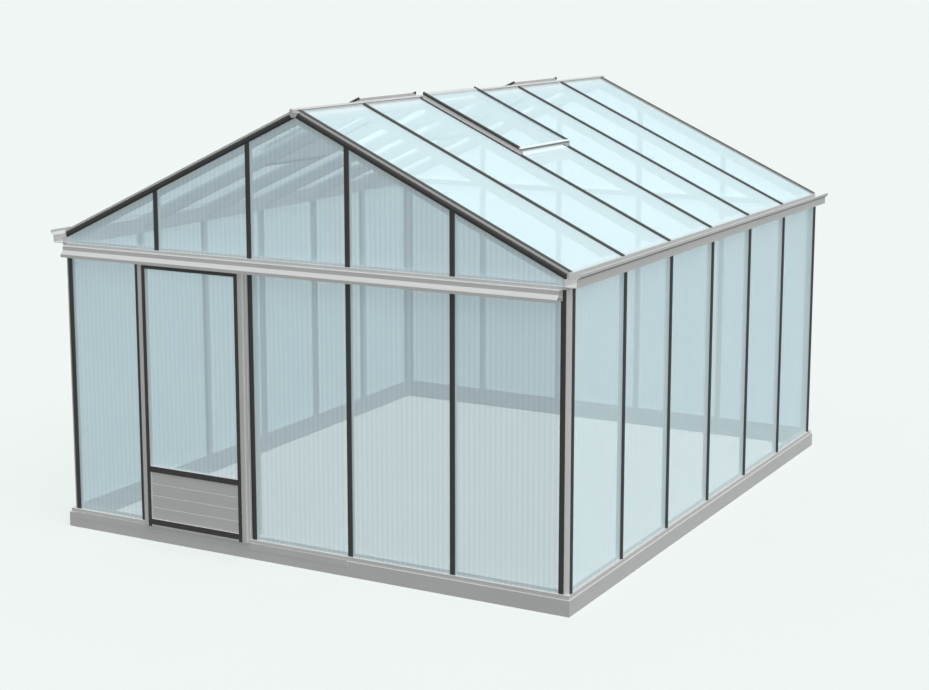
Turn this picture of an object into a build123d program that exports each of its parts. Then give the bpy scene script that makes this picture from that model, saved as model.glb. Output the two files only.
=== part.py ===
from build123d import *
import math
import os

# A gabled greenhouse of aluminium bars and twin-wall sheets, with a sliding door in its front gable.
# Millimetres. X runs across the front, Y from the front to the back, Z up.
# The origin is the middle of the base, at ground level.

# Overall sizes
base_width = 3800.0
base_length = 4570.0
roof_slope = 25.0
eaves_height = 1970.0
eaves_rise = 68.3
front_bays = 5
side_bays = 6

# Base kerb
kerb_height = 100.0
kerb_depth = 45.0
sill_step = 10.0
sill_rise = 26.0
lip_rise = 20.5
wall_setback = 22.0

# Glazing: cap strip, sheet and bar lie one behind the other
strip_width = 36.0
strip_thickness = 3.0
strip_crown = 2.0
dome_facets = 8
sheet_thickness = 10.0
bar_width = 36.0
wall_bar_depth = 19.0
jamb_bar_depth = 50.0
rafter_depth = 62.0
web_width = 8.0
sheet_gap = 0.5

# Corner posts and verges
corner_offset = 44.0
corner_chamfer = 26.0
corner_bulge = 5.0
verge_strip_top = 4.0
verge_crown = 9.0
verge_cover = 22.0
verge_trim_inset = 12.0
verge_rise = 8.0
verge_top_width = 52.0
verge_strip_inset = 4.0
verge_strip_half = 23.0

# Head rail
head_height = 18.0
head_step = 12.0
head_lip_drop = 9.0
head_depth = 45.0

# Door track and guide
track_left_inset = 53.0
track_right_inset = 72.0
track_reach = 77.0
track_slope = 25.0
track_lip = 20.0
track_height = 71.0
track_wall = 3.0
ledge_reach = 18.0
ledge_drop = 48.0
ledge_flange = 20.0
guide_thickness = 4.0
guide_rise = 8.0
guide_depth = 45.0

# Sliding door
door_opening = 902.2
left_reveal = 41.0
right_reveal = 19.2
door_foot_gap = 5.0
door_head_gap = 11.0
door_thickness = 35.0
door_face_reach = 52.0
stile_width = 66.0
stile_round = 10.0
door_strip_width = 26.0
door_strip_foot = 14.0
bottom_rail_height = 51.0
lower_panel_height = 324.0
mid_rail_height = 38.0
top_rail_drop = 28.0
plank_count = 4
plank_groove = 2.5
panel_thickness = 12.0
jamb_flange = 30.0

# Roller hangers
wheel_radius = 12.0
wheel_width = 8.0
wheel_inset = 120.0
running_gap = 0.3
axle_radius = 4.0
hanger_thickness = 4.0
hanger_foot = 18.0
hanger_width = 40.0
hanger_clearance = 5.0
wheel_clearance = 1.5

# Eaves beam and gutter
eaves_upstand = 14.0
beam_face_inset = 50.0
beam_thickness = 15.0
beam_lip_drop = 22.0
eaves_plate_thickness = 3.0
gutter_lap = 26.0
gutter_width = 59.0
gutter_depth = 48.0
gutter_wall = 3.0
gutter_flare_out = 21.5
gutter_crease = 18.0
gutter_flare_up = 36.0
gutter_flange = 44.0
gutter_overrun = 14.0

# Ridge
ridge_half_width = 54.0
ridge_foot_width = 30.0
ridge_shoulder = 22.0
ridge_depth = 80.0
ridge_slot = 12.0
roof_crown = 11.0
cap_half_width = 14.0
cap_foot_rise = 1.5
cap_neck = 8.0
cap_brow = 13.0
cap_brow_rise = 4.0
cap_top = 3.0
cap_rise = 14.0
cap_overrun = 45.0
end_plate_depth = 22.0
end_plate_half = 36.0
end_plate_foot = 12.0
end_plate_edge = 3.0
end_plate_drop = 42.0

# Roof vents: heights above the roof's plane, and reaches back from the leaf's lower edge
vent_ridge_gap = 18.0
vent_reach = 786.0
vent_rise = 40.0
vent_overlap = 9.0
vent_frame_width = 30.0
vent_foot = 4.0
vent_ledge = 30.0
vent_flare_out = 3.0
vent_flare_top = 20.0
vent_flare_tip = 3.0
vent_strip_width = 25.0
vent_strip_edge = 10.0
vent_strip_crown = 8.0
vent_bar_height = 13.0
vent_bar_tilt = 3.0
vent_corner = 16.0
vent_pane_seat = 24.0
vent_seat_thickness = 3.0
vent_sill = 44.0
vent_web = 4.0
trimmer_lap = 10.0

# Derived places
slope = math.radians(roof_slope)
fall = math.tan(slope)
half_width = base_width / 2
half_length = base_length / 2
side_plane = half_width - wall_setback
front_plane = half_length - wall_setback
ridge_height = eaves_height + eaves_rise + fall * side_plane
bay_front = 2 * (side_plane - corner_offset) / front_bays
bay_side = 2 * (front_plane - corner_offset) / side_bays
strip_edge = strip_thickness - strip_crown
sheet_in = strip_thickness
sheet_out = strip_thickness + sheet_thickness
wall_out = sheet_out + wall_bar_depth
jamb_out = sheet_out + jamb_bar_depth
rafter_out = sheet_out + rafter_depth
strip_half = strip_width / 2
bar_half = bar_width / 2
web_half = web_width / 2
sheet_edge = web_half + sheet_gap
corner_strip_end = corner_offset + strip_half
verge_shoulder = corner_offset - strip_half
corner_seat = corner_offset + web_half
sill_height = kerb_height + sill_rise
lip_height = sill_height + lip_rise
head_bottom = eaves_height - head_height
head_lip_bottom = head_bottom - head_lip_drop
beam_lip_bottom = eaves_height - beam_lip_drop
beam_face = side_plane - beam_face_inset
roof_end = side_plane - eaves_upstand
gutter_inner = side_plane - gutter_lap
eaves_in = beam_face - beam_thickness
head_lip_top = ridge_height - fall * eaves_in - rafter_out / math.cos(slope) - sheet_gap
track_top = head_bottom
track_bottom = track_top - track_height
ledge_height = track_top - ledge_drop
guide_height = kerb_height + guide_rise
front_posts = [(i - (front_bays - 2) / 2) * bay_front for i in range(front_bays - 1)]
side_posts = [(i - (side_bays - 2) / 2) * bay_side for i in range(side_bays - 1)]
right_jamb_centre = front_posts[1]
left_jamb_centre = right_jamb_centre - door_opening
door_left = left_jamb_centre + left_reveal
door_right = right_jamb_centre - right_reveal
door_bottom = guide_height + door_foot_gap
door_top = ledge_height - door_head_gap
door_face = front_plane + door_face_reach
door_back = door_face - door_thickness
bottom_rail_top = door_bottom + bottom_rail_height
mid_rail_bottom = bottom_rail_top + lower_panel_height
mid_rail_top = mid_rail_bottom + mid_rail_height
top_rail_bottom = track_bottom - top_rail_drop
guide_end = front_posts[2] - strip_half / 2
track_left = track_left_inset - half_width
track_right = half_width - track_right_inset


def roof_z(x, depth=0.0):
    """Height of the right slope at a distance from the ridge, some way below its outer plane."""
    return ridge_height - fall * x - depth / math.cos(slope)


def gable_z(x, depth=0.0):
    """The same height on either side of the ridge."""
    return roof_z(abs(x), depth)


def run(face, plane, length):
    return extrude(plane * face, amount=length)


def along_x(points, x0, x1):
    """A profile given as (y, z) points, run from x0 to x1."""
    plane = Plane(origin=(x0, 0, 0), x_dir=(0, 1, 0), z_dir=(1, 0, 0))
    return run(make_face(Polyline(*points, close=True)), plane, x1 - x0)


def along_y(points, y0, y1):
    """A profile given as (x, z) points, run from y0 to y1."""
    plane = Plane(origin=(0, y1, 0), x_dir=(1, 0, 0), z_dir=(0, -1, 0))
    return run(make_face(Polyline(*points, close=True)), plane, y1 - y0)


def along_z(points, z0, z1):
    """A profile given as (x, y) points, run from z0 to z1."""
    plane = Plane(origin=(0, 0, z0), x_dir=(1, 0, 0), z_dir=(0, 0, 1))
    return run(make_face(Polyline(*points, close=True)), plane, z1 - z0)


def down_slope(face, x0, x1):
    """A section given in (y, height above the roof plane), run down the right slope with upright ends."""
    start = x0 - strip_width
    direction = (math.cos(slope), 0, -math.sin(slope))
    plane = Plane(origin=(start, 0, roof_z(start)), x_dir=(0, 1, 0), z_dir=direction)
    bar = run(face, plane, (x1 + strip_width - start) / math.cos(slope))
    kept = rectangle(x0, x1, head_lip_bottom, ridge_height + 2 * strip_width)
    return bar & along_y(kept, -half_length, half_length)


def rectangle(a0, a1, b0, b1):
    """The four corners of a rectangle."""
    return [(a0, b0), (a1, b0), (a1, b1), (a0, b1)]


def slope_points(points, x):
    """Points given as (distance along X from x, height above the right slope), as (x, z)."""
    return [(x + a, roof_z(x + a, -h)) for a, h in points]


def domed_face(place, half, crown, edge=strip_edge):
    """Section of a cap strip, flat against the sheet and domed outside in narrow facets.
    place turns (across, outwards from the sheet) into the section's own plane."""
    points = [place(-half, 0), place(half, 0)]
    for i in range(dome_facets + 1):
        turn = math.pi * i / dome_facets
        points.append(place(half * math.cos(turn), edge + crown * math.sin(turn)))
    return make_face(Polyline(*points, close=True))


def mirror_left(solids):
    """The same solids on the other side of the ridge."""
    return [mirror(solid, about=Plane.YZ) for solid in solids]


def mirror_back(solids):
    """The same solids at the other gable."""
    return [mirror(solid, about=Plane.XZ) for solid in solids]


def minus(solid, others):
    """A solid notched where others cross it."""
    for other in others:
        solid = solid - other
    return solid


def roof_band(outer, inner, x0, x1, y0, y1):
    """A plate or bar on the right slope, between two depths below the roof's outer plane."""
    points = [
        (x0, roof_z(x0, outer)),
        (x1, roof_z(x1, outer)),
        (x1, roof_z(x1, inner)),
        (x0, roof_z(x0, inner)),
    ]
    return along_y(points, y0, y1)


def kerb_profile():
    """The kerb's section, from its outer face inwards: distance in, height."""
    lip = wall_setback + sheet_out
    return [
        (0, 0),
        (0, kerb_height),
        (sill_step, kerb_height),
        (sill_step, sill_height),
        (lip, sill_height),
        (lip, lip_height),
        (kerb_depth, lip_height),
        (kerb_depth, 0),
    ]


def kerb_side(run_half, across_half, front):
    """One side of the kerb, mitred at both ends."""
    over = sill_step
    if front:
        side = along_x([(-across_half + d, z) for d, z in kerb_profile()], -run_half, run_half)
        corner = (run_half, -across_half)
        outside = (run_half + over, -across_half - over)
        cut = [corner, outside, (run_half + over, 0), (run_half - across_half, 0)]
    else:
        side = along_y([(across_half - d, z) for d, z in kerb_profile()], -run_half, run_half)
        corner = (across_half, -run_half)
        outside = (across_half + over, -run_half - over)
        cut = [corner, outside, (0, -run_half - over), (0, across_half - run_half)]
    wedge = along_z(cut, -over, lip_height + over)
    other = mirror(wedge, about=Plane.YZ if front else Plane.XZ)
    return side - wedge - other


def base_pieces():
    front = kerb_side(half_width, half_length, True)
    right = kerb_side(half_length, half_width, False)
    return {
        "base_front": [front],
        "base_back": mirror_back([front]),
        "base_right": [right],
        "base_left": mirror_left([right]),
    }


def corner_posts(rails):
    """Corner posts, whose sections count inwards from the side wall and from the front wall."""
    def place(u, v):
        return side_plane - u, -front_plane + v

    rounded = []
    for i in range(dome_facets + 1):
        share = i / dome_facets
        out = corner_bulge / math.sqrt(2) * math.sin(math.pi * share)
        rounded.append((corner_chamfer * (1 - share) - out, corner_chamfer * share - out))
    shell = [
        (sheet_in, corner_chamfer),
        (sheet_in, corner_seat),
        (sheet_out, corner_seat),
        (sheet_out, sheet_out),
        (corner_seat, sheet_out),
        (corner_seat, sheet_in),
        (corner_chamfer, sheet_in),
    ]
    legs = [
        (sheet_out, sheet_out),
        (sheet_out, corner_strip_end),
        (wall_out, corner_strip_end),
        (wall_out, wall_out),
        (corner_strip_end, wall_out),
        (corner_strip_end, sheet_out),
    ]
    outer = along_z([place(u, v) for u, v in rounded + shell], sill_height, eaves_height)
    inner = along_z([place(u, v) for u, v in legs], lip_height, beam_lip_bottom)
    post = minus(outer + inner, rails)
    front_pair = [post] + mirror_left([post])
    return front_pair + mirror_back(front_pair)


def wall_post(web, body, web_top, body_top):
    """A wall bar: its web stands on the sill and its body on the lip behind the sheets."""
    return along_z(web, sill_height, web_top) + along_z(body, lip_height, body_top)


def front_post(x):
    web = rectangle(x - web_half, x + web_half, -front_plane + sheet_in, -front_plane + sheet_out)
    body = rectangle(x - bar_half, x + bar_half, -front_plane + sheet_out, -front_plane + wall_out)
    return wall_post(web, body, head_bottom, head_lip_bottom)


def right_post(y):
    web = rectangle(side_plane - sheet_out, side_plane - sheet_in, y - web_half, y + web_half)
    body = rectangle(side_plane - wall_out, side_plane - sheet_out, y - bar_half, y + bar_half)
    return wall_post(web, body, eaves_height, beam_lip_bottom)


def jamb_post(x, towards_door):
    """Door jamb: a deeper bar whose web widens into a flange on the doorway's side."""
    web = [
        (-web_half, sheet_out),
        (-web_half, sheet_in),
        (strip_half, sheet_in),
        (strip_half, 0),
        (jamb_flange, 0),
        (jamb_flange, sheet_out),
    ]
    body = rectangle(-bar_half, jamb_flange, sheet_out, jamb_out)
    web = [(x + towards_door * a, -front_plane + v) for a, v in web]
    body = [(x + towards_door * a, -front_plane + v) for a, v in body]
    return wall_post(web, body, head_bottom, head_lip_bottom)


def front_sheet(x0, x1):
    """A sheet of the front wall between two posts' middles."""
    plan = rectangle(x0 + sheet_edge, x1 - sheet_edge, -front_plane + sheet_in, -front_plane + sheet_out)
    return along_z(plan, sill_height, head_bottom)


def front_strip(x, z0, z1):
    """A cap strip on the front wall."""
    face = domed_face(lambda a, out: (x + a, -front_plane + strip_thickness - out), strip_half, strip_crown)
    return run(face, Plane(origin=(0, 0, z0)), z1 - z0)


def right_strip(y, z0, z1):
    """A cap strip on the right wall."""
    face = domed_face(lambda a, out: (side_plane - strip_thickness + out, y + a), strip_half, strip_crown)
    return run(face, Plane(origin=(0, 0, z0)), z1 - z0)


def side_lines():
    corner = front_plane - corner_offset
    return [-corner] + side_posts + [corner]


def side_walls():
    lines = side_lines()
    posts = [right_post(y) for y in side_posts]
    strips = [right_strip(y, sill_height, eaves_height) for y in lines]
    sheets = []
    for y0, y1 in zip(lines, lines[1:]):
        plan = rectangle(side_plane - sheet_out, side_plane - sheet_in, y0 + sheet_edge, y1 - sheet_edge)
        sheets.append(along_z(plan, sill_height, eaves_height))
    return {
        "right_wall_posts": posts,
        "left_wall_posts": mirror_left(posts),
        "right_wall_sheets": sheets,
        "left_wall_sheets": mirror_left(sheets),
        "right_wall_strips": strips,
        "left_wall_strips": mirror_left(strips),
    }


def head_rail():
    """Rail between the wall's sheets and the gable's, with a step outside and a lip inside."""
    front = [
        (-head_step, head_bottom),
        (-head_step, eaves_height),
        (sheet_out, eaves_height),
        (sheet_out, head_bottom),
    ]
    lip = rectangle(sheet_out, head_depth, head_lip_bottom, head_lip_top)
    bar = along_x([(-front_plane + v, z) for v, z in front], -side_plane, side_plane)
    back = along_x([(-front_plane + v, z) for v, z in lip], -eaves_in, eaves_in)
    return bar + back


def door_header():
    """The bar over the doorway, between the jambs' flanges and up to the head rail."""
    foot = ledge_height - ledge_flange
    section = [(0, foot), (0, head_bottom), (sheet_out, head_bottom), (sheet_out, head_lip_bottom)]
    section += [(wall_out, head_lip_bottom), (wall_out, foot)]
    points = [(-front_plane + v, z) for v, z in section]
    return along_x(points, left_jamb_centre + jamb_flange, right_jamb_centre - jamb_flange)


def front_wall():
    corner = side_plane - corner_offset
    posts = [front_post(x) for x in front_posts[2:]]
    jambs = [jamb_post(left_jamb_centre, 1), jamb_post(right_jamb_centre, -1)]
    lines = [right_jamb_centre] + front_posts[2:] + [corner]
    sheets = [front_sheet(-corner, left_jamb_centre)]
    sheets += [front_sheet(a, b) for a, b in zip(lines, lines[1:])]
    strips = [front_strip(x, sill_height, head_bottom) for x in [-corner, left_jamb_centre] + lines]
    return {
        "front_posts": posts,
        "door_posts": jambs,
        "front_wall_sheets": sheets,
        "front_strips": strips,
        "front_head_rail": [head_rail() + door_header()],
    }


def back_wall():
    corner = side_plane - corner_offset
    lines = [-corner] + front_posts + [corner]
    return {
        "back_posts": mirror_back([front_post(x) for x in front_posts]),
        "back_wall_sheets": mirror_back([front_sheet(a, b) for a, b in zip(lines, lines[1:])]),
        "back_strips": mirror_back([front_strip(x, sill_height, head_bottom) for x in lines]),
        "back_head_rail": mirror_back([head_rail()]),
    }


def gable_sheet(x0, x1):
    """A gable sheet between two posts' middles, cut to the roof's slope."""
    a = x0 + sheet_edge
    b = x1 - sheet_edge
    depth = verge_strip_top + verge_cover
    points = [(a, eaves_height), (b, eaves_height), (b, gable_z(b, depth))]
    if a < 0 < b:
        points.append((0, gable_z(0, depth)))
    points.append((a, gable_z(a, depth)))
    return along_y(points, -front_plane + sheet_in, -front_plane + sheet_out)


def gable_post(x):
    """A gable bar whose top is cut to the slope."""
    depth = verge_strip_top + verge_cover
    body = [(x - bar_half, head_lip_top), (x + bar_half, head_lip_top)]
    body += [(x + bar_half, gable_z(x + bar_half, rafter_out)), (x - bar_half, gable_z(x - bar_half, rafter_out))]
    rib = [(x - web_half, eaves_height), (x + web_half, eaves_height)]
    rib += [(x + web_half, gable_z(x + web_half, depth)), (x - web_half, gable_z(x - web_half, depth))]
    back = along_y(body, -front_plane + sheet_out, -front_plane + wall_out)
    front = along_y(rib, -front_plane + sheet_in, -front_plane + sheet_out)
    return back + front


def gable_strip(x):
    """A gable cap strip, cut off under the verge's strip."""
    top = gable_z(0)
    strip = front_strip(x, eaves_height, top)
    depth = verge_strip_top + strip_width
    a = x - strip_width
    b = x + strip_width
    above = [(a, gable_z(a, depth)), (b, gable_z(b, depth)), (b, top + strip_width), (a, top + strip_width)]
    return strip - along_y(above, -front_plane - strip_width, -front_plane + strip_width)


def verge():
    """The right half of the front verge: four bands of one section, mitred at the ridge."""
    cover = verge_strip_top + verge_cover
    y = -front_plane
    bands = [
        (-verge_rise, sheet_in, 0, verge_top_width, roof_end),
        (sheet_in, verge_strip_top, 0, verge_shoulder, roof_end),
        (sheet_in, cover, sheet_in, corner_seat, roof_end),
        (sheet_out, rafter_out, sheet_out, corner_strip_end, eaves_in),
    ]
    body = None
    for outer, inner, v0, v1, foot in bands:
        band = roof_band(outer, inner, 0, foot, y + v0, y + v1)
        body = band if body is None else body + band
    return body


def verge_trim():
    """The domed black strip on the verge's face."""
    middle = -(verge_strip_top + strip_half)
    face = domed_face(lambda a, out: (-front_plane + strip_thickness - out, middle + a), strip_half, verge_crown)
    return down_slope(face, 0, roof_end - verge_trim_inset)


def gables():
    posts = [gable_post(x) for x in front_posts]
    sheets = [gable_sheet(a, b) for a, b in zip(front_posts, front_posts[1:])]
    end = gable_sheet(front_posts[-1], gutter_inner + sheet_edge)
    sheets += [end] + mirror_left([end])
    right = verge()
    verges = [right] + mirror_left([right])
    strips = [gable_strip(x) for x in front_posts]
    trim = verge_trim()
    strips += [trim] + mirror_left([trim])
    return {
        "front_posts": posts,
        "front_gable_sheets": sheets,
        "front_verges": verges,
        "front_strips": strips,
        "back_posts": mirror_back(posts),
        "back_gable_sheets": mirror_back(sheets),
        "back_verges": mirror_back(verges),
        "back_strips": mirror_back(strips),
    }


def vent_lines(right):
    """The pairs of rafters that each vent spans."""
    if right:
        return [(side_posts[1], side_posts[2])]
    lines = side_lines()
    return [(lines[1], lines[2]), (lines[4], lines[5])]


def roof_strip(y):
    """A cap strip on the right slope, from the ridge's cap down to the eaves."""
    face = domed_face(lambda a, out: (y + a, out - strip_thickness), strip_half, roof_crown)
    return down_slope(face, cap_half_width, roof_end)


def verge_strip():
    """The wider strip that lies on top of the front verge."""
    middle = -front_plane + verge_strip_inset + verge_strip_half
    face = domed_face(lambda a, out: (middle + a, out + verge_rise), verge_strip_half, strip_crown)
    return down_slope(face, cap_half_width, roof_end)


def roof_side(right):
    """Rafters, sheets and strips of one slope, worked out on the right side."""
    lines = side_lines()
    vents = vent_lines(right)
    rafters = []
    for y in side_posts:
        body = roof_band(sheet_out, rafter_out, ridge_half_width, eaves_in, y - bar_half, y + bar_half)
        rib = roof_band(sheet_in, sheet_out, ridge_slot, eaves_in, y - web_half, y + web_half)
        rafters.append(body + rib)
    sheets = []
    for y0, y1 in zip(lines, lines[1:]):
        start = vent_reach if (y0, y1) in vents else ridge_slot
        sheets.append(roof_band(sheet_in, sheet_out, start, roof_end, y0 + sheet_edge, y1 - sheet_edge))
    edge = verge_strip()
    strips = [edge] + [roof_strip(y) for y in side_posts] + mirror_back([edge])
    return rafters, sheets, strips


def vent_side(y, inwards, x0, x1):
    """A side bar of a vent: a ledge for its edge strip above and a flared skirt below."""
    points = [
        (vent_frame_width, vent_foot),
        (-vent_flare_out, vent_foot),
        (-vent_flare_out, vent_foot + vent_flare_tip),
        (0, vent_flare_top),
        (0, vent_ledge),
        (vent_strip_width, vent_ledge),
        (vent_strip_width, vent_rise),
        (vent_frame_width, vent_rise),
    ]
    face = make_face(Polyline(*[(y + inwards * a, h) for a, h in points], close=True))
    return down_slope(face, x0, x1)


def vent_foot_bar(y0, y1):
    """The vent's lower bar: a tilted face over a recess, with the pane's seat and a web down to the trimmer."""
    under = vent_rise - vent_bar_height
    seat = vent_rise - sheet_out
    seat_foot = seat - vent_seat_thickness
    face = [(0, vent_rise), (-vent_bar_tilt, under), (-vent_corner, under)]
    corner = face + [(-vent_corner, vent_rise)]
    middle = face + [
        (-vent_corner, seat_foot),
        (-vent_sill + vent_web, seat_foot),
        (-vent_sill + vent_web, -sheet_out),
        (-vent_sill, -sheet_out),
        (-vent_sill, seat),
        (-vent_pane_seat, seat),
        (-vent_pane_seat, vent_rise),
    ]
    ends = along_y(slope_points(corner, vent_reach), y0, y1)
    inset = vent_strip_width
    return ends + along_y(slope_points(middle, vent_reach), y0 + inset, y1 - inset)


def vent_edge(y):
    """The domed black strip on the ledge of a vent's side bar."""
    half = vent_strip_width / 2
    face = domed_face(lambda a, out: (y + half + a, out + vent_ledge), half, vent_strip_crown, vent_strip_edge)
    return down_slope(face, cap_half_width + vent_ridge_gap, vent_reach - vent_corner)


def vent_trimmer(y0, y1):
    """The bar between two rafters under a vent's foot, with the sill plate that the sheet below meets."""
    foot = vent_reach + trimmer_lap
    body = roof_band(sheet_out, rafter_out, vent_reach - vent_sill, foot, y0 + bar_half, y1 - bar_half)
    start = vent_reach - vent_sill + vent_web
    return body + roof_band(sheet_in, sheet_out, start, vent_reach, y0 + bar_half, y1 - bar_half)


def vent(line0, line1, strips):
    """One closed roof vent over two rafters: raised frame, its sheet and its edge strips."""
    y0 = line0 - vent_overlap
    y1 = line1 + vent_overlap
    start = cap_half_width + vent_ridge_gap
    width = vent_frame_width
    head = roof_band(-vent_rise, -vent_foot, start, start + width, y0 + width, y1 - width)
    frame = head + vent_foot_bar(y0, y1)
    for y, inwards in ((y0, 1), (y1, -1)):
        frame = frame + vent_side(y, inwards, start, vent_reach)
    pane_top = sheet_in - vent_rise
    pane_end = vent_reach - vent_pane_seat
    pane = roof_band(pane_top, pane_top + sheet_thickness, start + width, pane_end, y0 + width, y1 - width)
    return minus(frame, strips), pane, [vent_edge(y0), vent_edge(y1 - vent_strip_width)]


def roof():
    pieces = {}
    for side, right in (("right", True), ("left", False)):
        rafters, sheets, strips = roof_side(right)
        frames = []
        cap_strips = list(strips)
        for y0, y1 in vent_lines(right):
            frame, pane, edges = vent(y0, y1, cap_strips)
            frames.append(frame)
            sheets.append(pane)
            strips += edges
            rafters.append(vent_trimmer(y0, y1))
        named = {
            side + "_rafters": rafters,
            side + "_roof_sheets": sheets,
            side + "_roof_strips": strips,
            side + "_vent_frames": frames,
        }
        for name, solids in named.items():
            pieces[name] = solids if right else mirror_left(solids)
    return pieces


def ridge(crossing):
    """Ridge beam, and the cap over it with its two end plates, notched where the verges cross."""
    wing = ridge_half_width
    flat = ridge_slot
    right = [
        (ridge_foot_width, roof_z(0, ridge_depth)),
        (ridge_foot_width, roof_z(wing, sheet_out) - ridge_shoulder),
        (wing, roof_z(wing, sheet_out) - ridge_shoulder),
        (wing, roof_z(wing, sheet_out)),
        (flat, roof_z(flat, sheet_out)),
        (flat, roof_z(flat, sheet_in)),
    ]
    beam = right + [(0, roof_z(0, sheet_in))] + [(-x, z) for x, z in reversed(right)]
    half = [
        (cap_half_width, roof_z(cap_half_width, sheet_in)),
        (cap_half_width, roof_z(cap_half_width) + cap_foot_rise),
        (cap_neck, roof_z(cap_neck) + cap_foot_rise),
        (cap_brow, ridge_height + cap_brow_rise),
        (cap_top, ridge_height + cap_rise),
    ]
    cap = [(0, roof_z(0, sheet_in))] + half + [(-x, z) for x, z in reversed(half)]
    plate_top = roof_z(cap_half_width, sheet_in) - sheet_gap
    side = [
        (end_plate_foot, ridge_height - end_plate_drop),
        (end_plate_half, plate_top - end_plate_edge),
        (end_plate_half, plate_top),
    ]
    plate = along_y(side + [(-x, z) for x, z in reversed(side)], -front_plane - end_plate_depth, -front_plane)
    inside = front_plane - corner_strip_end
    reach = front_plane + cap_overrun
    plate = minus(plate, crossing)
    cover = minus(along_y(cap, -reach, reach), crossing)
    return along_y(beam, -inside, inside), [cover, plate] + mirror_back([plate])


def eaves(crossing):
    """Eaves beam of the right side, notched where verges and head rails cross its ends."""
    points = [
        (eaves_in, beam_lip_bottom),
        (side_plane - sheet_out, beam_lip_bottom),
        (side_plane - sheet_out, eaves_height),
        (beam_face, eaves_height),
        (beam_face, roof_z(beam_face, sheet_out)),
        (eaves_in, roof_z(eaves_in, sheet_out)),
    ]
    reach = front_plane - sheet_out
    return minus(along_y(points, -reach, reach), crossing)


def eaves_plate():
    """The thin plate across the lower ends of the right slope's sheets."""
    z0 = roof_z(roof_end, verge_strip_top + verge_cover)
    plate = rectangle(roof_end, roof_end + eaves_plate_thickness, z0, roof_z(roof_end))
    return along_y(plate, -front_plane, front_plane)


def gutter():
    """The right gutter: an open channel over the wall's top, with a flared rim."""
    wall = gutter_wall
    outside = side_plane + gutter_width
    edge = outside + gutter_flare_out
    floor = eaves_height
    rim = floor + gutter_depth
    points = [
        (gutter_inner, floor),
        (outside, floor),
        (outside, rim),
        (edge, rim + gutter_crease),
        (edge, rim + gutter_flare_up),
        (edge - wall, rim + gutter_flare_up),
        (edge - wall, rim + gutter_crease + wall / 2),
        (outside - wall, rim + wall / 2),
        (outside - wall, floor + wall),
        (gutter_inner + wall, floor + wall),
        (gutter_inner + wall, floor + gutter_flange),
        (gutter_inner, floor + gutter_flange),
    ]
    reach = half_length + gutter_overrun
    return along_y(points, -reach, reach)


def track():
    """Door track: a hood over the rollers, with their ledge inside, and the guide on the kerb."""
    t = track_wall
    out = track_reach
    face = track_reach - track_slope
    lip = track_bottom + track_lip
    skew = t * math.tan(math.pi / 8)
    foot = ledge_height - ledge_flange
    points = [
        (0, foot),
        (0, track_top),
        (face, track_top),
        (face, lip + track_slope),
        (out, lip),
        (out, track_bottom),
        (out - t, track_bottom),
        (out - t, lip - skew),
        (face - t, lip + track_slope - skew),
        (face - t, track_top - t),
        (t, track_top - t),
        (t, ledge_height + t),
        (ledge_reach, ledge_height + t),
        (ledge_reach, ledge_height),
        (t, ledge_height),
        (t, foot),
    ]
    hood = along_x([(-front_plane - r, z) for r, z in points], track_left, track_right)
    plate = rectangle(-half_length - guide_thickness, -half_length, guide_height - guide_depth, guide_height)
    guide = along_x(plate, track_left, guide_end)
    return hood, guide


def door_stile(x0):
    """The left stile, with its outer front edge rounded."""
    plan = rectangle(x0, x0 + stile_width, -door_face, -door_back)
    stile = along_z(plan, door_bottom, door_top)
    outer_edge = stile.edges().filter_by(Axis.Z).sort_by(Axis.X)[:2].sort_by(Axis.Y)[0]
    return fillet(outer_edge, stile_round)


def lower_panel(x0, x1):
    """The leaf's lower panel of planks, with a groove along each joint."""
    back = -door_back - (door_thickness - panel_thickness) / 2
    front = back - panel_thickness
    pitch = (mid_rail_bottom - bottom_rail_top) / plank_count
    outline = [(back, bottom_rail_top), (front, bottom_rail_top)]
    for i in range(1, plank_count):
        z = bottom_rail_top + i * pitch
        outline += [(front, z - plank_groove), (front + plank_groove, z), (front, z + plank_groove)]
    outline += [(front, mid_rail_bottom), (back, mid_rail_bottom)]
    return along_x(outline, x0, x1)


def door():
    """The sliding leaf in its closed place, with its cover strips."""
    face = -door_face
    back = -door_back
    left = door_left + stile_width
    right = door_right - stile_width
    middle = (door_left + door_right) / 2
    stile = door_stile(door_left)
    frame = stile + mirror(stile, about=Plane(origin=(middle, 0, 0), z_dir=(1, 0, 0)))
    for z0, z1 in ((door_bottom, bottom_rail_top), (mid_rail_bottom, mid_rail_top), (top_rail_bottom, door_top)):
        frame = frame + along_x(rectangle(face + strip_thickness, back, z0, z1), left, right)
    sheet_back = back - (door_thickness - sheet_thickness) / 2
    plan = rectangle(left, right, sheet_back - sheet_thickness, sheet_back)
    sheet = along_z(plan, mid_rail_top, top_rail_bottom)
    strips = []
    strip_bottom = door_bottom + door_strip_foot
    for z0, z1 in ((strip_bottom, bottom_rail_top), (mid_rail_bottom, mid_rail_top), (top_rail_bottom, door_top)):
        strips.append(along_x(rectangle(face, face + strip_thickness, z0, z1), left, right))
    for x0 in (left - door_strip_width, right):
        plan = rectangle(x0, x0 + door_strip_width, face - strip_thickness, face)
        strips.append(along_z(plan, door_bottom, door_top))
    return frame, sheet, lower_panel(left, right), strips


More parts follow.
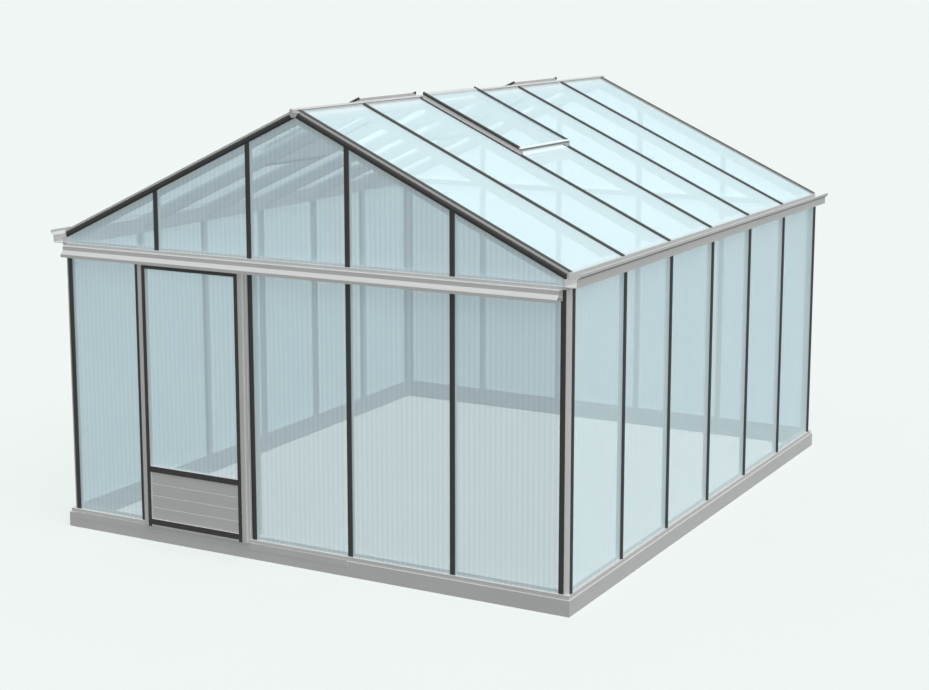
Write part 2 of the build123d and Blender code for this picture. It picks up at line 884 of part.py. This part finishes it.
def door_hangers():
    """Two roller hangers on the leaf's top edge."""
    plate_out = -front_plane - ledge_reach - hanger_clearance
    plate_in = plate_out - hanger_thickness
    wheel_z = ledge_height + track_wall + running_gap + wheel_radius
    top = wheel_z + wheel_radius
    shelf = door_top + hanger_thickness
    profile = [
        (plate_in - hanger_foot, door_top),
        (plate_out, door_top),
        (plate_out, top),
        (plate_in, top),
        (plate_in, shelf),
        (plate_in - hanger_foot, shelf),
    ]
    wheel_start = -front_plane - track_wall - wheel_clearance - wheel_width
    axle_length = wheel_start - plate_out
    hangers = []
    for x in (door_left + wheel_inset, door_right - wheel_inset):
        hanger = along_x(profile, x - hanger_width / 2, x + hanger_width / 2)
        axle = Pos(x, plate_out + axle_length / 2, wheel_z) * Rot(90, 0, 0) * Cylinder(axle_radius, axle_length)
        middle = wheel_start + wheel_width / 2
        wheel = Pos(x, middle, wheel_z) * Rot(90, 0, 0) * Cylinder(wheel_radius, wheel_width)
        hangers.append(hanger + axle + wheel)
    return hangers


def build():
    pieces = {}
    for group in (base_pieces(), front_wall(), back_wall(), side_walls(), gables(), roof()):
        for name, solids in group.items():
            pieces[name] = pieces.get(name, []) + solids
    rails = pieces["front_head_rail"] + pieces["back_head_rail"]
    verges = pieces["front_verges"] + pieces["back_verges"]
    trims = pieces["front_strips"] + pieces["back_strips"]
    pieces["corner_posts"] = corner_posts(rails)
    beam, pieces["ridge_cap"] = ridge(verges + trims)
    pieces["ridge_beam"] = [beam]
    right_eaves = [eaves(verges + rails + pieces["corner_posts"]), eaves_plate()]
    pieces["right_eaves_beam"] = right_eaves
    pieces["left_eaves_beam"] = mirror_left(right_eaves)
    pieces["right_gutter"] = [gutter()]
    pieces["left_gutter"] = mirror_left([gutter()])
    hood, guide = track()
    pieces["door_track"] = [hood]
    pieces["door_guide"] = [guide]
    frame, sheet, panel, strips = door()
    pieces["door_frame"] = [frame]
    pieces["door_sheet"] = [sheet]
    pieces["door_lower_panel"] = [panel]
    pieces["door_strips"] = strips
    pieces["door_hangers"] = door_hangers()
    return pieces


os.makedirs("parts", exist_ok=True)
for name, solids in build().items():
    shape = solids[0] if len(solids) == 1 else Compound(children=list(solids))
    export_step(shape, "parts/" + name + ".step")
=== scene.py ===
import math
import bmesh
import bpy
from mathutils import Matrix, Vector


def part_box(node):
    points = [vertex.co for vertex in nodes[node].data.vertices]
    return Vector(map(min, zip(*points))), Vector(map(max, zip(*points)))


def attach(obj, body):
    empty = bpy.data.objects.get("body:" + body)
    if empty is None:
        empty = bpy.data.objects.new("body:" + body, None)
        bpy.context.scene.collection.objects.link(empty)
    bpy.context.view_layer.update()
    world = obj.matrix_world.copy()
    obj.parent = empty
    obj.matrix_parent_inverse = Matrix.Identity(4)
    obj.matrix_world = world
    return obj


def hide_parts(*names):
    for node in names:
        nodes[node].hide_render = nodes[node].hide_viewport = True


# Looks of a gabled greenhouse: satin aluminium, matt black cover strips and clear twin-wall sheets.
# Metres. X runs across the front, Y from the front to the back, Z up.

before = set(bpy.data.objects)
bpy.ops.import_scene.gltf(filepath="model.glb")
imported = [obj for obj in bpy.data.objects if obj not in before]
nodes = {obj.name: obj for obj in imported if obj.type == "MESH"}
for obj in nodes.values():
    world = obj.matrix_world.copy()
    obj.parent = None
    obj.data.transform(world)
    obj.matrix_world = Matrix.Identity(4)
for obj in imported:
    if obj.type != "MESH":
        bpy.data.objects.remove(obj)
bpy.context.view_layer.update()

# Camera, at the photograph's place and angle: degrees for the angles, millimetres for the lens
camera_at = (6.2033, -11.4321, 3.6839)
camera_yaw = 28.691
camera_pitch = -9.711
focal_length = 69.51
sensor_width = 36.0
camera_shift = -0.0590
view_end = 3000

# Dome light, as its strength overhead, at the horizon and below
dome_top = 0.60
dome_side = 0.10
dome_foot = 0.08

# Lamps: strength, softness, tilt and turn in degrees, and whether they cast shadows
key_softness = 50.0
key_tilt = 35.0
key_turn = 53.0
lamps = {
    "key": (0.75, key_softness, key_tilt, key_turn, True),
    "fill": (3.3, key_softness, key_tilt, key_turn, False),
    "rear": (1.2, 10.0, 88.0, key_turn + 180, False),
}

# Backdrop and floor
backdrop = (0.889, 0.930, 0.922)
floor_tone = (0.580, 0.615, 0.605)
floor_shade = 0.995
floor_reach = 900.0
floor_drop = 0.0005
grain_scale = 2.0
grain_detail = 3.0

# The part of a noise's range that the materials use
noise_low = 0.3
noise_high = 0.7

# Fine lines along a bar or a strip
line_detail = 3.0
line_roughness = 0.6

# Aluminium: fine lines and faint clouds
metal_tone = 0.46
metal_low = (0.93, 0.945, 0.94)
metal_high = (1.05, 1.065, 1.06)
metal_share = 0.08
metal_specular = 0.3
metal_smooth = 0.42
metal_rough = 0.58
line_weight = 0.6
line_strength = 0.12
line_depth = 0.0004
cloud_scale = 3.0
cloud_detail = 4.0
cloud_weight = 0.4

# Black rubber: fine lines and dust, in equal parts
rubber_tone = 0.042
rubber_low = (0.80, 0.82, 0.82)
rubber_high = (1.25, 1.25, 1.22)
rubber_specular = 0.18
rubber_smooth = 0.45
rubber_rough = 0.62
dust_scale = 60.0
dust_detail = 6.0
dust_roughness = 0.7
dust_strength = 0.15
dust_depth = 0.0003
rubber_weight = 0.5

# Scale of the fine lines' noise along X, Y and Z: low along the bar, high across it
along_x = (0.8, 260, 260)
along_y = (260, 0.8, 260)
along_z = (260, 260, 0.8)
down_slope = (3, 260, 90)
strip_along_z = (300, 300, 1.0)
strip_down_slope = (4, 300, 100)
strip_on_door = (40, 300, 40)

# Twin-wall sheets: ribs, finer walls between them and a cloudy film, whose weighted sum is
# brought from the range between pattern_low and pattern_high to 0 to 1
sheet_colour = (0.605, 0.815, 0.885)
# The side walls' and the roof's sheets are the front's sheet painted lighter, for the light that
# falls on them
side_colour_painted_light = (0.65, 0.895, 0.965)
roof_colour_painted_light = (0.705, 0.915, 0.965)
milk_colour = (0.82, 0.94, 0.965)
deep_share = 0.78
rib_pitch = 0.036
rib_weight = 0.40
fine_pitch = 0.012
fine_weight = 0.08
film_scale = 1.7
film_detail = 3.0
film_weight = 0.25
pattern_low = -0.4
pattern_high = 0.65
sheet_roughness = 0.25
fine_strength = 0.05
fine_depth = 0.0005

# Side wall strips: half their width, the height of their edge, the rise of their crown over it,
# the facets of the dome and the bays between the strips
strip_half = 0.018
strip_edge = 0.001
strip_crown = 0.011
strip_facets = 14
side_bays = 6

# The roof's plane: its height at the ridge, and its fall for each metre outward
ridge_height = 2.91403
roof_pitch = 25
roof_fall = math.tan(math.radians(roof_pitch))

# Bands of another tone on the sloping bars: from and to a distance out from the ridge, from and
# to a height over the roof's plane, tone. The gasket is black rubber. The foot's top is a painted
# highlight and its face is painted shade. The sill plate below it is painted near-white: painted
# light in the recess under the foot.
gasket = (0.0625, 0.7615, 0.0305, 0.0500, (0.030, 0.031, 0.031))
foot_top_painted_highlight = (0.7605, 0.7870, 0.0395, 0.0500, (0.540, 0.640, 0.650))
foot_face_painted_shade = (0.7820, 0.7870, 0.0265, 0.0395, (0.270, 0.275, 0.273))
sill_plate_painted_light = (0.7465, 0.7870, -0.0125, 0.0000, (0.590, 0.680, 0.680))

# Painted highlight on the gutters' thin rims: the height above which it is painted, and its pale
# tone
rim_highlight_height = 2.0535
rim_highlight_tone = (0.90, 0.91, 0.91)

# Sockets of a Mix node that mixes colours
mix_factor = 0
mix_first = 6
mix_second = 7
mix_result = 2


def new_material(name):
    """An empty material with one main shader."""
    material = bpy.data.materials.new(name)
    material.use_nodes = True
    tree = material.node_tree
    tree.nodes.clear()
    output = tree.nodes.new("ShaderNodeOutputMaterial")
    shader = tree.nodes.new("ShaderNodeBsdfPrincipled")
    tree.links.new(shader.outputs["BSDF"], output.inputs["Surface"])
    return material, tree, shader


def find_node(tree, kind):
    """The tree's node of a kind that it has once."""
    return next(node for node in tree.nodes if node.type == kind)


def coordinate(tree, scale=(1, 1, 1)):
    """Object coordinates, which are the frame's own metres, stretched by scale."""
    source = tree.nodes.new("ShaderNodeTexCoord")
    mapping = tree.nodes.new("ShaderNodeMapping")
    mapping.inputs["Scale"].default_value = scale
    tree.links.new(source.outputs["Object"], mapping.inputs["Vector"])
    return mapping.outputs["Vector"]


def axes(tree, vector):
    """A vector's X, Y and Z, by name."""
    separate = tree.nodes.new("ShaderNodeSeparateXYZ")
    tree.links.new(vector, separate.inputs["Vector"])
    return separate.outputs


def noise(tree, vector, scale, detail, roughness=0.5):
    """A noise with values about 0.5."""
    texture = tree.nodes.new("ShaderNodeTexNoise")
    texture.inputs["Scale"].default_value = scale
    texture.inputs["Detail"].default_value = detail
    texture.inputs["Roughness"].default_value = roughness
    tree.links.new(vector, texture.inputs["Vector"])
    return texture.outputs["Fac"]


def fine_lines(tree, stretch):
    """A noise that is drawn out into lines by a stretch."""
    return noise(tree, coordinate(tree, stretch), 1.0, line_detail, line_roughness)


def remap(tree, value, low, high, to_low, to_high):
    """A value's range from low to high, brought to another range."""
    node = tree.nodes.new("ShaderNodeMapRange")
    node.inputs["From Min"].default_value = low
    node.inputs["From Max"].default_value = high
    node.inputs["To Min"].default_value = to_low
    node.inputs["To Max"].default_value = to_high
    tree.links.new(value, node.inputs["Value"])
    return node.outputs["Result"]


def ramp(tree, value, stops):
    """A colour that runs through the stops, each a place and a colour."""
    node = tree.nodes.new("ShaderNodeValToRGB")
    elements = node.color_ramp.elements
    for element, (place, colour) in zip(elements, (stops[0], stops[-1])):
        element.position = place
        element.color = (*colour, 1)
    for place, colour in stops[1:-1]:
        elements.new(place).color = (*colour, 1)
    tree.links.new(value, node.inputs["Fac"])
    return node.outputs["Color"]


def math_node(tree, operation, *values):
    """A Math node on one or two values, each a number or a socket."""
    node = tree.nodes.new("ShaderNodeMath")
    node.operation = operation
    for socket, value in zip(node.inputs, values):
        if isinstance(value, (int, float)):
            socket.default_value = value
        else:
            tree.links.new(value, socket)
    return node.outputs["Value"]


def weighted(tree, *terms):
    """The sum of values, each given with its weight."""
    total, *rest = [math_node(tree, "MULTIPLY", value, weight) for value, weight in terms]
    for term in rest:
        total = math_node(tree, "ADD", total, term)
    return total


def between(tree, value, low, high):
    """1 where the value lies between low and high, else 0."""
    above = math_node(tree, "GREATER_THAN", value, low)
    below = math_node(tree, "LESS_THAN", value, high)
    return math_node(tree, "MULTIPLY", above, below)


def mix_shaders(tree, share, first, second):
    """Two shaders mixed: share is how much there is of the second."""
    node = tree.nodes.new("ShaderNodeMixShader")
    if isinstance(share, float):
        node.inputs["Fac"].default_value = share
    else:
        tree.links.new(share, node.inputs["Fac"])
    tree.links.new(first, node.inputs[1])
    tree.links.new(second, node.inputs[2])
    return node.outputs["Shader"]


def bump(tree, shader, height, strength, distance):
    """Small relief on the shader's surface."""
    node = tree.nodes.new("ShaderNodeBump")
    node.inputs["Strength"].default_value = strength
    node.inputs["Distance"].default_value = distance
    tree.links.new(height, node.inputs["Height"])
    tree.links.new(node.outputs["Normal"], shader.inputs["Normal"])


def shade(tree, shader, pattern, tone, low, high):
    """Base colour from a noise, between two shares of a tone."""
    dark = tuple(tone * share for share in low)
    light = tuple(tone * share for share in high)
    colour = ramp(tree, pattern, [(noise_low, dark), (noise_high, light)])
    tree.links.new(colour, shader.inputs["Base Color"])


def roughen(tree, shader, pattern, smooth, rough):
    """Roughness from a noise."""
    value = remap(tree, pattern, noise_low, noise_high, smooth, rough)
    tree.links.new(value, shader.inputs["Roughness"])


def aluminium(name, stretch):
    """Satin aluminium with the fine lines of extrusion along the bar and a faint cloudiness."""
    material, tree, shader = new_material(name)
    lines = fine_lines(tree, stretch)
    clouds = noise(tree, coordinate(tree), cloud_scale, cloud_detail)
    mixed = weighted(tree, (lines, line_weight), (clouds, cloud_weight))
    shade(tree, shader, mixed, metal_tone, metal_low, metal_high)
    roughen(tree, shader, lines, metal_smooth, metal_rough)
    shader.inputs["Metallic"].default_value = metal_share
    shader.inputs["Specular IOR Level"].default_value = metal_specular
    bump(tree, shader, lines, line_strength, line_depth)
    return material


def paint(tree, inside, tone):
    """Gives the main shader another tone where inside is 1."""
    base = find_node(tree, "BSDF_PRINCIPLED").inputs["Base Color"]
    mix = tree.nodes.new("ShaderNodeMix")
    mix.data_type = "RGBA"
    tree.links.new(inside, mix.inputs[mix_factor])
    tree.links.new(base.links[0].from_socket, mix.inputs[mix_first])
    mix.inputs[mix_second].default_value = (*tone, 1)
    tree.links.new(mix.outputs[mix_result], base)


def gutter_bars_painted_highlight(name, stretch):
    """Aluminium with a painted highlight: a pale tone above the rim's height, where the thin rim
    would catch the light.
    """
    material = aluminium(name, stretch)
    tree = material.node_tree
    place = axes(tree, coordinate(tree))
    # Painted highlight: the rim's pale tone on all of the gutter above that height
    paint(tree, math_node(tree, "GREATER_THAN", place["Z"], rim_highlight_height), rim_highlight_tone)
    return material


def banded_bars(name, stretch, bands):
    """The aluminium of sloping bars, with bands of another tone by their place on the roof: black
    gaskets, and painted highlight and shade on the vents' foot and the sill below it.
    """
    material = aluminium(name, stretch)
    tree = material.node_tree
    place = axes(tree, coordinate(tree))
    out = math_node(tree, "ABSOLUTE", place["X"])
    level = math_node(tree, "ADD", place["Z"], math_node(tree, "MULTIPLY", out, roof_fall))
    over = math_node(tree, "SUBTRACT", level, ridge_height)
    height = math_node(tree, "DIVIDE", over, math.hypot(1, roof_fall))
    for start, end, low, high, tone in bands:
        along = between(tree, out, start, end)
        upward = between(tree, height, low, high)
        # Gasket bands are real black rubber; the foot and sill bands are painted highlight and
        # painted shade
        paint(tree, math_node(tree, "MULTIPLY", along, upward), tone)
    return material


def black_strip(name, stretch):
    """Matt black rubber cover strip, with faint lines along it and a speckle of dust."""
    material, tree, shader = new_material(name)
    lines = fine_lines(tree, stretch)
    dust = noise(tree, coordinate(tree), dust_scale, dust_detail, dust_roughness)
    mixed = weighted(tree, (lines, rubber_weight), (dust, rubber_weight))
    shade(tree, shader, mixed, rubber_tone, rubber_low, rubber_high)
    roughen(tree, shader, dust, rubber_smooth, rubber_rough)
    shader.inputs["Specular IOR Level"].default_value = rubber_specular
    bump(tree, shader, dust, dust_strength, dust_depth)
    return material


def twin_wall(name, axis, colour, clear, dark, depth=1.0, gloss=0.25, milky=0.0):
    """Clear twin-wall sheet: upright ribs show as soft stripes, with finer walls between them.

    The ribs stand side by side along axis. clear and dark are how much the sheet covers in its
    pale and its deep stripes, depth is how strong the stripes are, and milky is the share of its
    light that comes through from the other side."""
    material, tree, shader = new_material(name)
    along = axes(tree, coordinate(tree))[axis]
    ribs, walls = (
        math_node(tree, "SINE", math_node(tree, "MULTIPLY", along, 2 * math.pi / pitch))
        for pitch in (rib_pitch, fine_pitch)
    )
    film = noise(tree, coordinate(tree), film_scale, film_detail)
    terms = [(ribs, rib_weight * depth), (walls, fine_weight * depth), (film, film_weight)]
    share = remap(tree, weighted(tree, *terms), pattern_low, pattern_high, 0.0, 1.0)
    deep = tuple(part * deep_share for part in colour)
    tone = ramp(tree, share, [(0.0, deep), (1.0, colour)])
    tree.links.new(tone, shader.inputs["Base Color"])
    cover = remap(tree, share, 0.0, 1.0, dark, clear)
    tree.links.new(cover, shader.inputs["Alpha"])
    if milky:
        through = tree.nodes.new("ShaderNodeBsdfTranslucent")
        through.inputs["Color"].default_value = (*milk_colour, 1)
        hole = tree.nodes.new("ShaderNodeBsdfTransparent")
        glow = mix_shaders(tree, cover, hole.outputs["BSDF"], through.outputs["BSDF"])
        both = mix_shaders(tree, milky, shader.outputs["BSDF"], glow)
        tree.links.new(both, find_node(tree, "OUTPUT_MATERIAL").inputs["Surface"])
    shader.inputs["Roughness"].default_value = sheet_roughness
    shader.inputs["Specular IOR Level"].default_value = gloss
    bump(tree, shader, walls, fine_strength, fine_depth)
    return material


def new_object(name, data):
    """An object in the scene for a mesh, a lamp or a camera."""
    thing = bpy.data.objects.new(name, data)
    bpy.context.scene.collection.objects.link(thing)
    return thing


def give(name, material):
    """Puts a material on a CAD node."""
    slots = nodes[name].data.materials
    if len(slots) == 0:
        slots.append(material)
    for i in range(len(slots)):
        slots[i] = material


# Materials on the CAD nodes
across = aluminium("aluminium_across", along_x)
upright = aluminium("aluminium_upright", along_z)
lengthwise = aluminium("aluminium_lengthwise", along_y)
sloped = aluminium("aluminium_sloped", down_slope)
gutters = gutter_bars_painted_highlight("aluminium_gutters_painted_highlight", along_y)
rafters = banded_bars("aluminium_rafters_painted_sill_light", down_slope, [sill_plate_painted_light])
vents = banded_bars("aluminium_vents_gasket_and_painted_light", down_slope, [gasket, foot_top_painted_highlight, foot_face_painted_shade])
black_upright = black_strip("black_upright", strip_along_z)
black_sloped = black_strip("black_sloped", strip_down_slope)
black_across = black_strip("black_door", strip_on_door)
sheets_front = twin_wall("sheet_front", "X", sheet_colour, clear=0.37, dark=0.43)
# Side and roof sheets: lighter copies of the front's sheet, painted lighter for the light that
# falls on them
sheets_side_painted_light = twin_wall(
    "sheet_side_painted_light", "Y", side_colour_painted_light, clear=0.38, dark=0.42, depth=0.7, gloss=0.5
)
sheets_roof_painted_light = twin_wall(
    "sheet_roof_painted_light", "Y", roof_colour_painted_light, clear=0.37, dark=0.43, depth=1.1, gloss=0.0, milky=0.38
)

finishes = {
    across: [
        "base_front", "base_back", "front_head_rail", "back_head_rail",
        "door_track", "door_guide", "door_lower_panel",
    ],
    lengthwise: [
        "base_left", "base_right", "left_eaves_beam", "right_eaves_beam",
        "ridge_beam", "ridge_cap",
    ],
    gutters: ["left_gutter", "right_gutter"],
    upright: [
        "corner_posts", "front_posts", "back_posts", "door_posts",
        "left_wall_posts", "right_wall_posts", "door_frame", "door_hangers",
    ],
    sloped: ["front_verges", "back_verges"],
    rafters: ["left_rafters", "right_rafters"],
    vents: ["left_vent_frames", "right_vent_frames"],
    black_upright: ["front_strips", "back_strips", "left_wall_strips", "right_wall_strips"],
    black_sloped: ["left_roof_strips", "right_roof_strips"],
    black_across: ["door_strips"],
    sheets_front: [
        "front_wall_sheets", "back_wall_sheets", "front_gable_sheets", "back_gable_sheets",
        "door_sheet",
    ],
    sheets_side_painted_light: ["left_wall_sheets", "right_wall_sheets"],
    sheets_roof_painted_light: ["left_roof_sheets", "right_roof_sheets"],
}
for material, names in finishes.items():
    for name in names:
        give(name, material)

# The sheets and the vents' frames neither shade the rest nor send light back to it
for name in nodes:
    if name.endswith(("_sheets", "door_sheet", "_vent_frames")):
        nodes[name].visible_shadow = False
        nodes[name].visible_diffuse = False


def wall_strips(side, outward):
    """Domed cover strips of one side wall, standing as proud of the sheets as the roof's do."""
    name = side + "_wall_strips"
    low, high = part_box(name)
    base = low.x if outward > 0 else high.x
    section = [(base, -strip_half)]
    for i in range(strip_facets + 1):
        turn = math.pi * i / strip_facets
        out = strip_edge + strip_crown * math.sin(turn)
        section.append((base + outward * out, -strip_half * math.cos(turn)))
    section.append((base, strip_half))
    build = bmesh.new()
    first = low.y + strip_half
    last = high.y - strip_half
    pitch = (last - first) / side_bays
    for i in range(side_bays + 1):
        y = first + i * pitch
        foot, head = (
            [build.verts.new((x, y + a, z)) for x, a in section] for z in (low.z, high.z)
        )
        build.faces.new(foot)
        build.faces.new(head)
        for j in range(len(section)):
            k = (j + 1) % len(section)
            build.faces.new((foot[j], foot[k], head[k], head[j]))
    bmesh.ops.recalc_face_normals(build, faces=build.faces)
    mesh = bpy.data.meshes.new(side + "_cover_strips")
    build.to_mesh(mesh)
    build.free()
    mesh.materials.append(black_upright)
    piece = new_object(side + "_cover_strips", mesh)
    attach(piece, "house")
    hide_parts(name)


wall_strips("right", 1)
wall_strips("left", -1)


def make_floor():
    """A pale floor that reaches past the horizon."""
    mesh = bpy.data.meshes.new("floor")
    r = floor_reach
    mesh.from_pydata([(-r, -r, 0), (r, -r, 0), (r, r, 0), (-r, r, 0)], [], [(0, 1, 2, 3)])
    floor = new_object("floor", mesh)
    floor.location.z = -floor_drop
    material, tree, shader = new_material("floor_paper")
    grain = noise(tree, coordinate(tree), grain_scale, grain_detail)
    low = tuple(part * floor_shade for part in floor_tone)
    colour = ramp(tree, grain, [(noise_low, low), (noise_high, floor_tone)])
    tree.links.new(colour, shader.inputs["Base Color"])
    shader.inputs["Roughness"].default_value = 1.0
    shader.inputs["Specular IOR Level"].default_value = 0.0
    mesh.materials.append(material)
    floor.visible_diffuse = False
    floor.visible_glossy = False


def make_world():
    """A dome that is brighter overhead, and the backdrop for what is seen or mirrored."""
    world = bpy.data.worlds.new("studio")
    bpy.context.scene.world = world
    world.use_nodes = True
    tree = world.node_tree
    tree.nodes.clear()
    output = tree.nodes.new("ShaderNodeOutputWorld")
    source = tree.nodes.new("ShaderNodeTexCoord")
    height = remap(tree, axes(tree, source.outputs["Generated"])["Z"], -1.0, 1.0, 0.0, 1.0)
    stops = [(0.0, (dome_foot,) * 3), (0.5, (dome_side,) * 3), (1.0, (dome_top,) * 3)]
    dome = tree.nodes.new("ShaderNodeBackground")
    tree.links.new(ramp(tree, height, stops), dome.inputs["Color"])
    seen = tree.nodes.new("ShaderNodeBackground")
    seen.inputs["Color"].default_value = (*backdrop, 1)
    rays = tree.nodes.new("ShaderNodeLightPath").outputs
    looks = math_node(tree, "MAXIMUM", rays["Is Glossy Ray"], rays["Is Transmission Ray"])
    looks = math_node(tree, "MAXIMUM", rays["Is Camera Ray"], looks)
    both = mix_shaders(tree, looks, dome.outputs["Background"], seen.outputs["Background"])
    tree.links.new(both, output.inputs["Surface"])


def make_lamps():
    """Soft light from the front and right, and a level light from behind."""
    for name, (strength, softness, tilt, turn, shadows) in lamps.items():
        lamp = bpy.data.lights.new(name, "SUN")
        lamp.energy = strength
        lamp.angle = math.radians(softness)
        lamp.use_shadow = shadows
        light = new_object(name, lamp)
        light.rotation_euler = (math.radians(tilt), 0, math.radians(turn))


def make_camera():
    """The camera, which looks level when its pitch is 0."""
    data = bpy.data.cameras.new("camera")
    data.sensor_width = sensor_width
    data.lens = focal_length
    data.shift_y = camera_shift
    data.clip_end = view_end
    camera = new_object("camera", data)
    camera.location = camera_at
    tilt = math.radians(90 + camera_pitch)
    camera.rotation_euler = (tilt, 0, math.radians(camera_yaw))
    bpy.context.scene.camera = camera


make_floor()
make_world()
make_lamps()
make_camera()
bpy.context.scene.view_settings.view_transform = "Standard"
